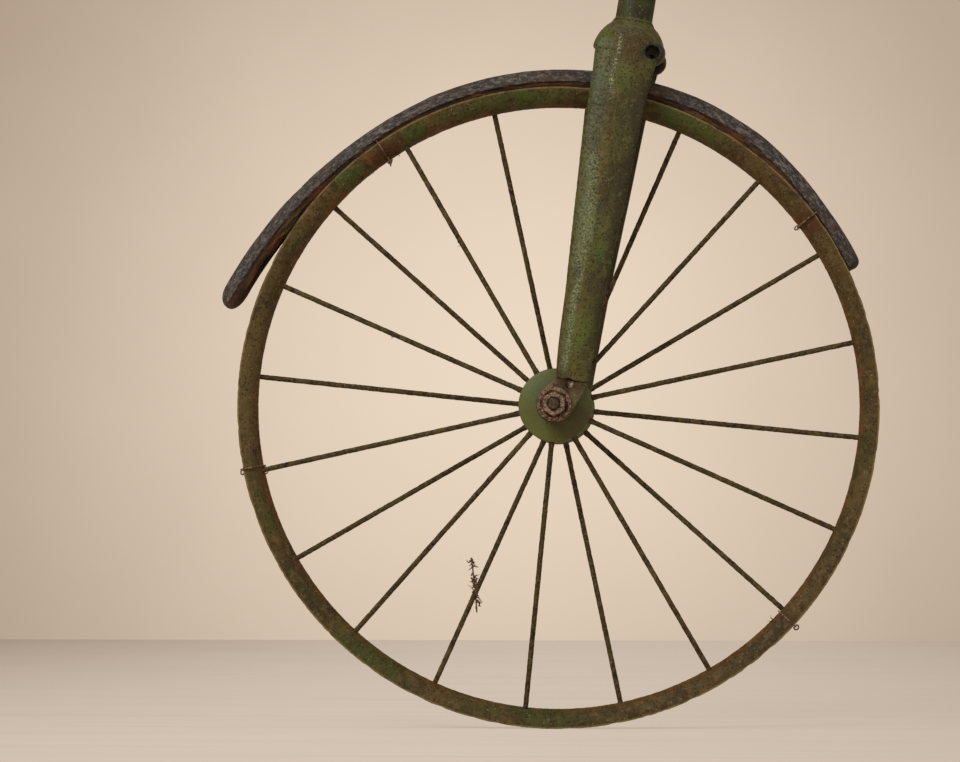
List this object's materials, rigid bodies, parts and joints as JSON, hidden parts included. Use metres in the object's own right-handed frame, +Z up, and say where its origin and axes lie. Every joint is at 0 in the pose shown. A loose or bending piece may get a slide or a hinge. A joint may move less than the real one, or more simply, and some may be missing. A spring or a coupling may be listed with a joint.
{
  "type": "penny farthing rear wheel with fork",
  "caption": "Small iron-rimmed spoked rear wheel with the remains of a solid tyre wired on, turning on its axle in a leaning two-bladed fork below a cut backbone tube.",
  "frame": {"origin": "centre of the open upper end of the backbone stub", "axes": "+Z up, +X forward towards the bicycle's front wheel, +Y to the bicycle's left along the axle"},
  "size_m": [0.4446, 0.093, 0.5366],
  "materials": {
    "rim_iron": "dark green paint worn through to brown rust, matt",
    "tyre_rubber": "perished grey-black rubber, cracked, dull",
    "tie_wire": "rusty soft iron wire",
    "spoke_iron": "rusty brown with remains of olive paint",
    "hub_paint": "mid green paint, soft sheen",
    "fork_paint": "dark olive green paint, pitted and freckled with rust",
    "fork_end_paint": "thin olive paint over brown iron",
    "rusty_steel": "crusty pinkish-brown rust",
    "braze": "reddish-brown braze under worn paint"
  },
  "bodies": {
    "fork": {"axle": "rusty_steel", "fork_crown": "fork_paint", "backbone_stub": "fork_paint", "neck_braze": "braze", "right_cone": "rusty_steel", "right_fork_end": "fork_end_paint", "right_washer": "rusty_steel", "right_axle_nut": "rusty_steel", "right_foot_rivet": "rusty_steel", "right_fork_blade": "fork_paint", "left_cone": "rusty_steel", "left_fork_end": "fork_end_paint", "left_washer": "rusty_steel", "left_axle_nut": "rusty_steel", "left_foot_rivet": "rusty_steel", "left_fork_blade": "fork_paint"},
    "wheel": {"rim": "rim_iron", "tyre_remnant": "tyre_rubber", "tie_wires": "tie_wire", "right_spokes": "spoke_iron", "left_spokes": "spoke_iron", "hub": "hub_paint"}
  },
  "joints": [
    {"name": "wheel_spin", "type": "hinge", "parent": "fork", "child": "wheel", "pos_m": [-0.06186, 0, -0.31806], "axis": [0, 1, 0], "continuous": true}
  ]
}
